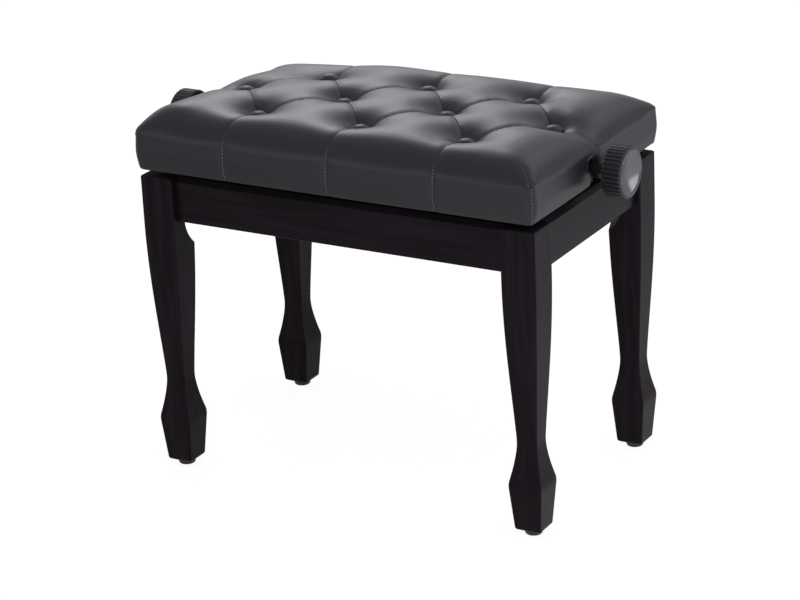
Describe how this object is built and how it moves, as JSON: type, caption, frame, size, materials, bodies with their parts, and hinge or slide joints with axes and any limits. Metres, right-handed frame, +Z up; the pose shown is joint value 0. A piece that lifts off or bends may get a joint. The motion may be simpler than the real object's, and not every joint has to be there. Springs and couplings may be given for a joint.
{
  "type": "adjustable piano bench",
  "caption": "Piano bench with a button-tufted leather seat on tapered spade-foot legs; turning either end knob drives a screw that opens a scissor lift and raises the seat level.",
  "frame": {"origin": "on the floor, under the middle of the bench", "axes": "+X along the bench from knob to knob, +Y to the back, +Z up"},
  "size_m": [0.642, 0.3328, 0.4804],
  "materials": {
    "lacquered_wood": "satin dark lacquer over fine grain",
    "frame_wood": "black stained plywood and beech, matt",
    "cover_leather": "soft satin leather, fine pebble grain",
    "black_steel": "black powder coat",
    "zinc_steel": "zinc plated",
    "nylon": "moulded nylon",
    "knob_plastic": "moulded black plastic",
    "cap_plastic": "smooth grey plastic"
  },
  "bodies": {
    "base": {"leg_front_left": "lacquered_wood", "leg_front_right": "lacquered_wood", "leg_back_left": "lacquered_wood", "leg_back_right": "lacquered_wood", "floor_glide_front_left": "nylon", "floor_glide_front_right": "nylon", "floor_glide_back_left": "nylon", "floor_glide_back_right": "nylon", "apron_front": "lacquered_wood", "apron_back": "lacquered_wood", "apron_left": "lacquered_wood", "apron_right": "lacquered_wood", "corner_block_front_left": "frame_wood", "corner_block_front_right": "frame_wood", "corner_block_back_left": "frame_wood", "corner_block_back_right": "frame_wood", "leg_bolts": "zinc_steel", "leg_washers": "zinc_steel", "leg_nuts": "zinc_steel", "lower_rail_front": "black_steel", "lower_rail_back": "black_steel", "lower_rail_screws": "zinc_steel", "lower_pivot_pins": "zinc_steel"},
    "outer_arms": {"outer_arm_front": "black_steel", "outer_arm_back": "black_steel", "centre_pins": "zinc_steel", "centre_washers": "zinc_steel"},
    "inner_arms": {"inner_arm_front": "black_steel", "inner_arm_back": "black_steel", "lower_cross_shaft": "black_steel", "lower_slide_sleeves": "nylon"},
    "nut_bar": {"crossbar_nut": "black_steel", "upper_slide_sleeves": "nylon"},
    "seat": {"seat_board": "frame_wood", "seat_rail_front": "frame_wood", "seat_rail_back": "frame_wood", "seat_rail_left": "frame_wood", "seat_rail_right": "frame_wood", "upper_rail_front": "black_steel", "upper_rail_back": "black_steel", "upper_rail_screws": "zinc_steel", "upper_pivot_pins": "zinc_steel", "rod_bearing_left": "black_steel", "rod_bearing_right": "black_steel", "bearing_screws": "zinc_steel", "rod_bushes": "nylon", "seat_cushion": "cover_leather", "side_padding_front": "cover_leather", "side_padding_back": "cover_leather", "side_padding_left": "cover_leather", "side_padding_right": "cover_leather", "tuft_buttons": "cover_leather"},
    "screw": {"lift_screw": "zinc_steel", "knob_left": "knob_plastic", "knob_right": "knob_plastic", "knob_cap_left": "cap_plastic", "knob_cap_right": "cap_plastic", "thrust_collars": "zinc_steel", "knob_pins": "zinc_steel"}
  },
  "joints": [
    {"name": "lift", "type": "hinge", "parent": "base", "child": "outer_arms", "pos_m": [-0.1587, 0, 0.383], "axis": [0, -1, 0], "range_deg": [0, 18.7]},
    {"name": "arm_cross", "type": "hinge", "parent": "outer_arms", "child": "inner_arms", "pos_m": [0, 0, 0.40335], "axis": [0, -1, 0], "range_deg": [-37.4, 0]},
    {"name": "seat_level", "type": "hinge", "parent": "inner_arms", "child": "seat", "pos_m": [-0.1587, 0, 0.4237], "axis": [0, -1, 0], "range_deg": [0, 18.7]},
    {"name": "nut_level", "type": "hinge", "parent": "outer_arms", "child": "nut_bar", "pos_m": [0.1587, 0, 0.4237], "axis": [0, -1, 0], "range_deg": [-18.7, 0]},
    {"name": "knob_turn", "type": "hinge", "parent": "seat", "child": "screw", "pos_m": [0, 0, 0.4237], "axis": [1, 0, 0], "range_deg": [0, 2690]}
  ],
  "couplings": [
    {"joint": "arm_cross", "follows": "lift", "ratio": -2},
    {"joint": "seat_level", "follows": "lift", "ratio": 1},
    {"joint": "nut_level", "follows": "lift", "ratio": -1},
    {"joint": "knob_turn", "follows": "lift", "ratio": 143.8}
  ]
}
